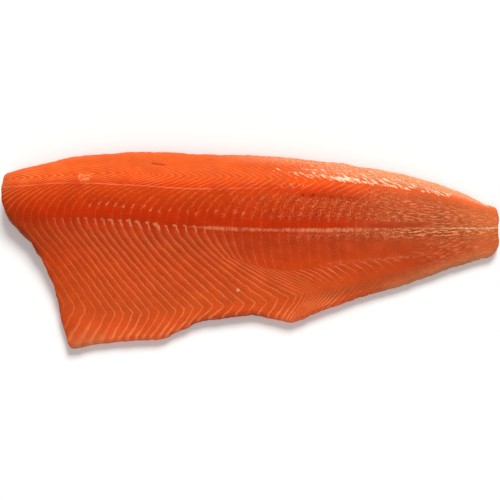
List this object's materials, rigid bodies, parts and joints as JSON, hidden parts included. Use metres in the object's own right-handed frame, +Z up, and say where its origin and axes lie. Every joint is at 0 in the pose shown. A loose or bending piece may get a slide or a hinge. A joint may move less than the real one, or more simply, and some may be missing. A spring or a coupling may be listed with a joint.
{
  "type": "raw salmon fillet",
  "caption": "Raw skinless side of salmon: a long tapered slab of flesh with a raised loin, a thin belly flap, a slanted head cut and a blunt tail.",
  "frame": {"origin": "middle of the fillet's box, on the flat underside", "axes": "+X along the fillet towards the tail, +Y across it from the belly edge to the back edge, +Z up out of the inner face"},
  "size_m": [0.5474, 0.2294, 0.0311],
  "materials": {
    "flesh": "moist satin flesh, orange with paler fat lines"
  },
  "bodies": {
    "root": {"fillet": "flesh"}
  },
  "joints": []
}
